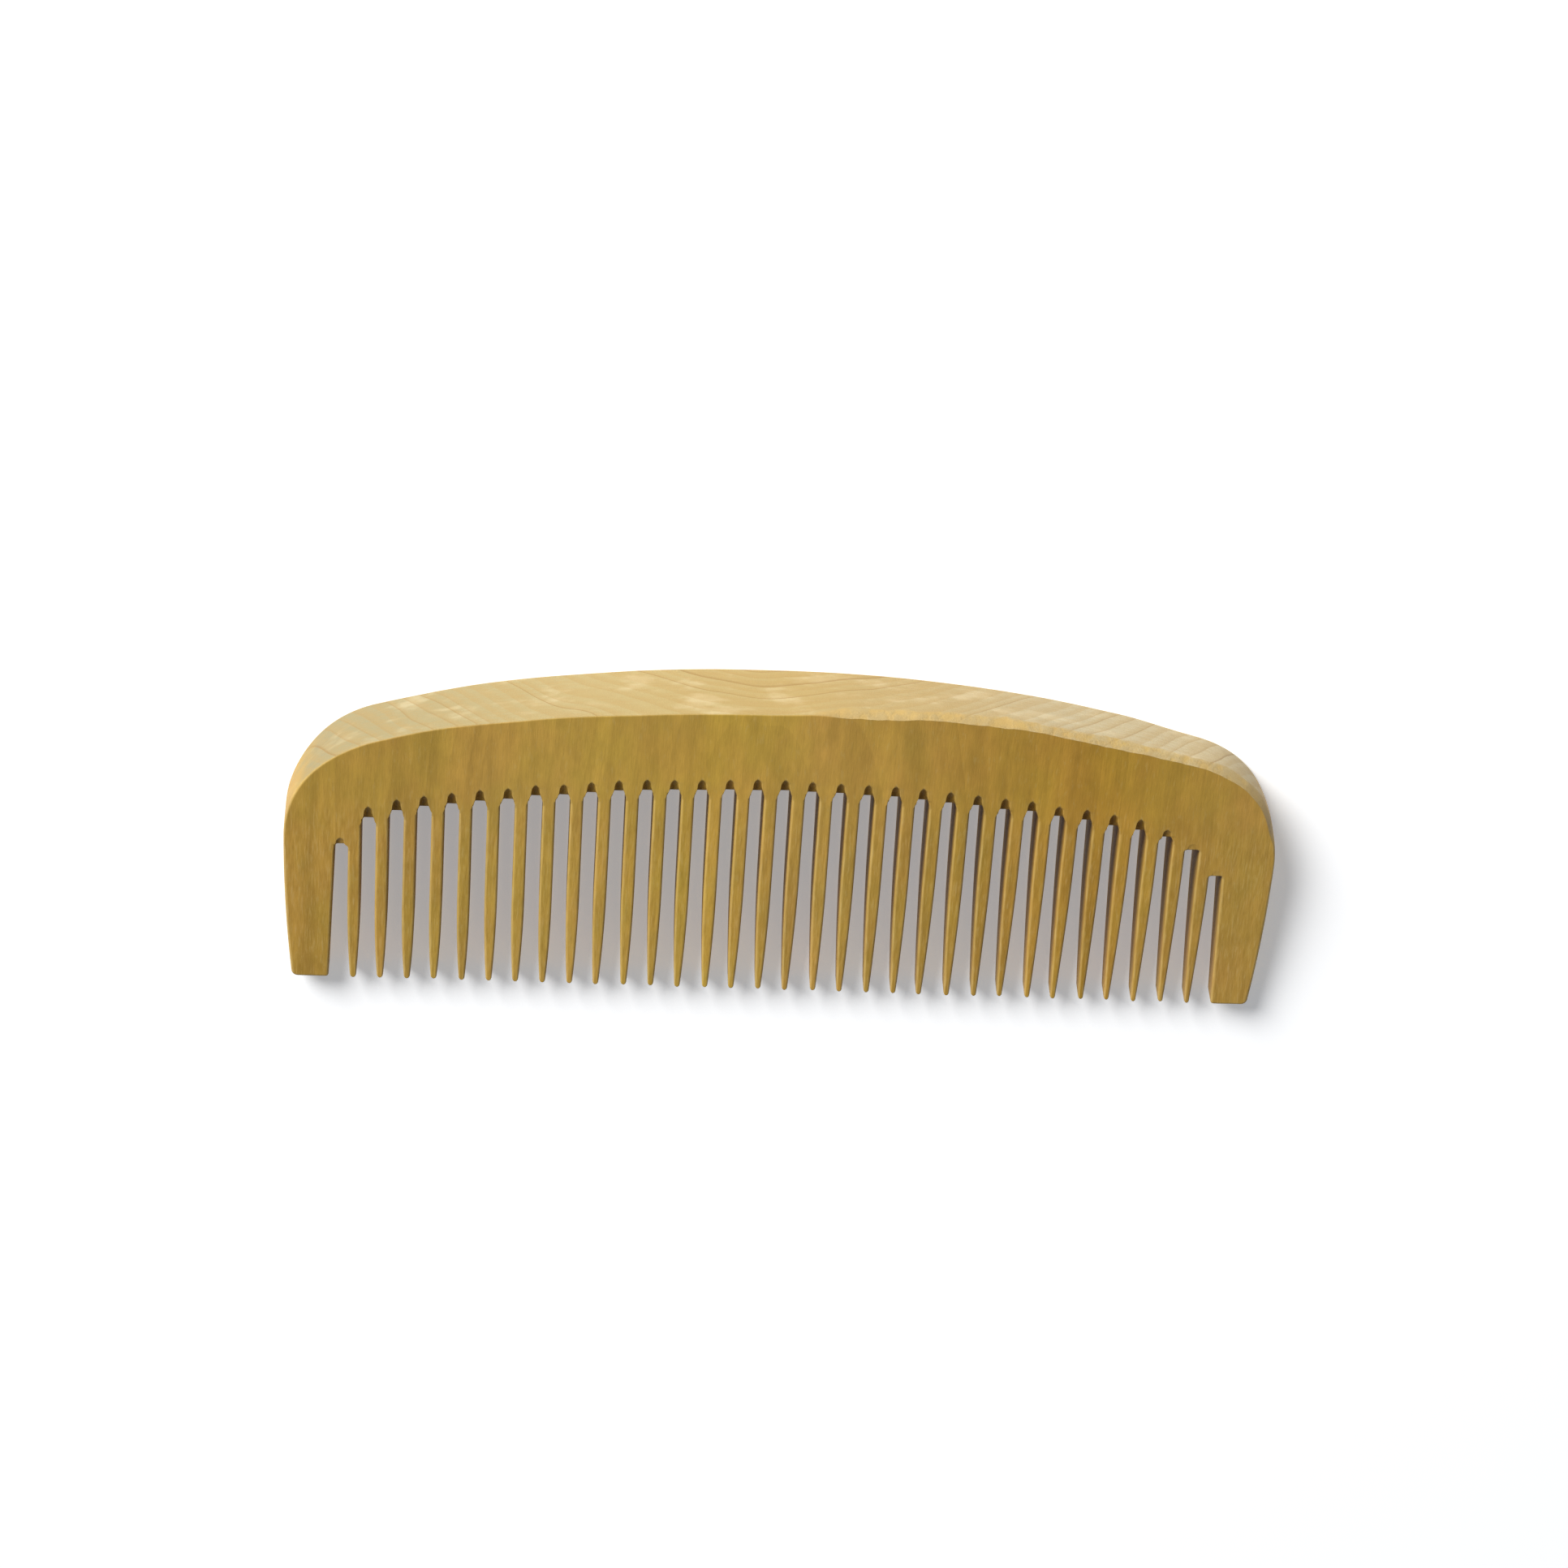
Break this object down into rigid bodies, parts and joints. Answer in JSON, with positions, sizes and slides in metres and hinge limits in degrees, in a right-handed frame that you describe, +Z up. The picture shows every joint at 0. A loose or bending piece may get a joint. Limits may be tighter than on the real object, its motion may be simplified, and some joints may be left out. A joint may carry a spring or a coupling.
{
  "type": "wide tooth comb",
  "caption": "Wide tooth hair comb sawn from one wooden board, with an arched back, solid end guards and even pointed teeth that thin towards their tips.",
  "frame": {"origin": "centre of the rear face's footprint, on the surface that the comb lies on", "axes": "+X along the comb from left guard to right guard, +Y from the tooth tips to the arched back, +Z up out of the front face"},
  "size_m": [0.15, 0.0531, 0.0119],
  "materials": {
    "wood": "hand sanded bare wood, satin, faces planed along the grain and end grain showing on the arched back"
  },
  "bodies": {
    "root": {"spine": "wood", "left_end_guard": "wood", "right_end_guard": "wood", "tooth_01": "wood", "tooth_02": "wood", "tooth_03": "wood", "tooth_04": "wood", "tooth_05": "wood", "tooth_06": "wood", "tooth_07": "wood", "tooth_08": "wood", "tooth_09": "wood", "tooth_10": "wood", "tooth_11": "wood", "tooth_12": "wood", "tooth_13": "wood", "tooth_14": "wood", "tooth_15": "wood", "tooth_16": "wood", "tooth_17": "wood", "tooth_18": "wood", "tooth_19": "wood", "tooth_20": "wood", "tooth_21": "wood", "tooth_22": "wood", "tooth_23": "wood", "tooth_24": "wood", "tooth_25": "wood", "tooth_26": "wood", "tooth_27": "wood", "tooth_28": "wood", "tooth_29": "wood", "tooth_30": "wood", "tooth_31": "wood", "tooth_32": "wood"}
  },
  "joints": []
}
